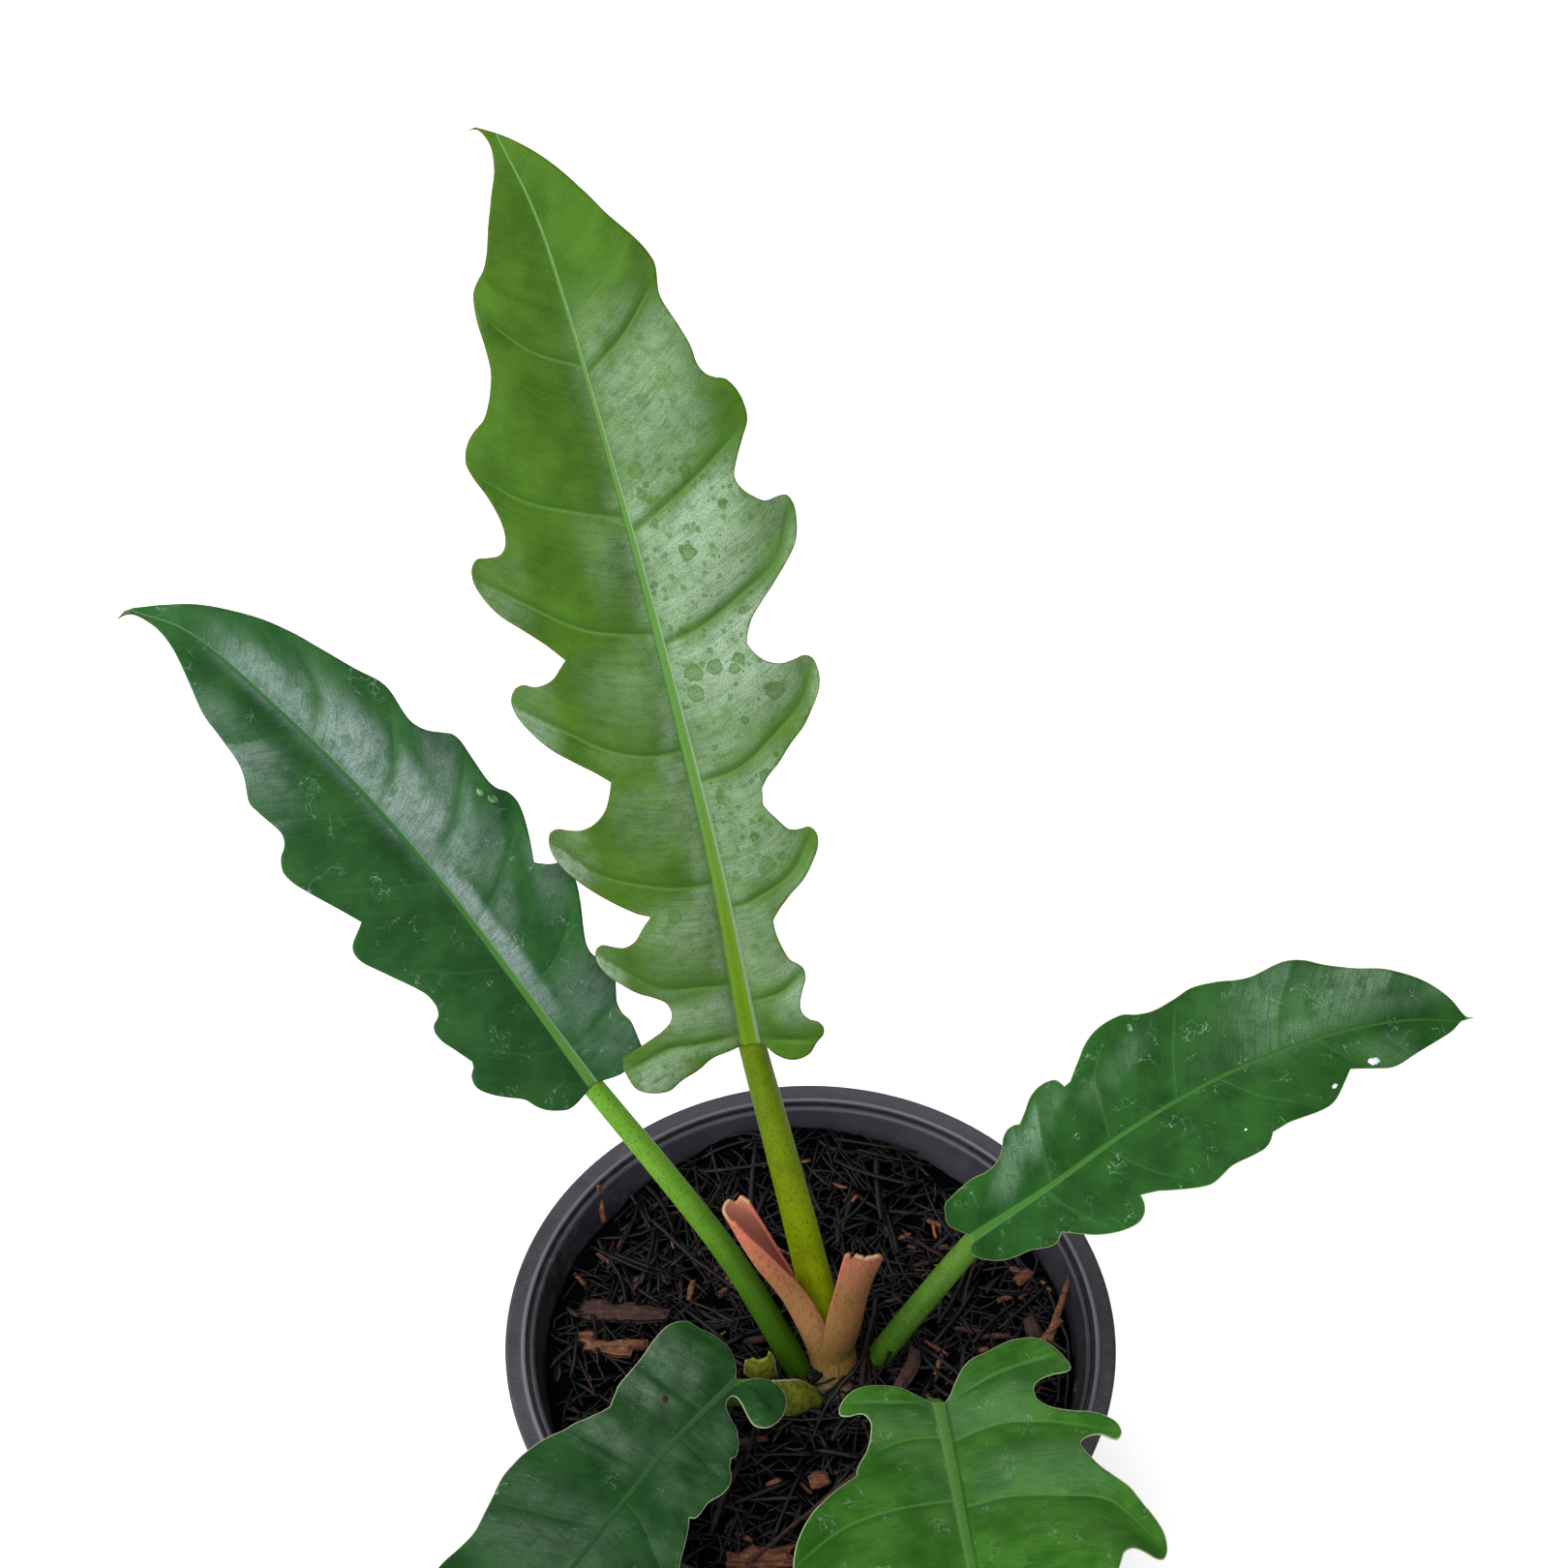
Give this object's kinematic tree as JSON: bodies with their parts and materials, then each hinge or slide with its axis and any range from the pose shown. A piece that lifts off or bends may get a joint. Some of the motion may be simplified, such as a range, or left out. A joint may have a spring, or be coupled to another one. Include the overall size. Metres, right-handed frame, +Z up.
{
  "type": "potted philodendron",
  "caption": "Potted philodendron with long wavy-lobed green leaves on round stalks, in a black plastic nursery pot full of dark fibrous potting mix.",
  "frame": {"origin": "middle of the pot's underside, where it rests", "axes": "+Z up, front of the plant towards -Y, +X to the right seen from the front"},
  "size_m": [0.3146, 0.3215, 0.3705],
  "materials": {
    "pot": "matte black nursery plastic with a fine grain",
    "potting_mix": "dark composted bark and coir fibre",
    "crown": "rough brown stem",
    "petiole_tall": "satin olive green with dark specks",
    "petiole_left": "satin bright green",
    "petiole_right": "satin green",
    "petiole_front": "satin green",
    "leaf_tall": "glossy young yellow-green leaf",
    "leaf_left": "glossy dark green leaf",
    "leaf_right": "glossy dark green leaf",
    "leaf_front_left": "glossy blue-green leaf",
    "leaf_front_right": "glossy green leaf",
    "cataphyll": "dry pinkish tan sheath",
    "leaf_sheath": "olive sheath with a dry rim",
    "bark": "red-brown bark",
    "wood_bits": "pale orange split wood"
  },
  "bodies": {
    "root": {"pot": "pot", "potting_mix": "potting_mix", "crown": "crown", "petiole_tall": "petiole_tall", "petiole_left": "petiole_left", "petiole_right": "petiole_right", "petiole_front_left": "petiole_front", "petiole_front_right": "petiole_front", "leaf_tall": "leaf_tall", "leaf_left": "leaf_left", "leaf_right": "leaf_right", "leaf_front_left": "leaf_front_left", "leaf_front_right": "leaf_front_right", "cataphyll": "cataphyll", "leaf_sheath": "leaf_sheath", "bark_red": "bark", "wood_orange": "wood_bits", "chip_brown": "bark", "chip_square": "wood_bits", "chip_right": "bark", "chip_back": "bark", "wood_front": "wood_bits", "stick_right": "wood_bits", "twig_front": "bark"}
  },
  "joints": []
}
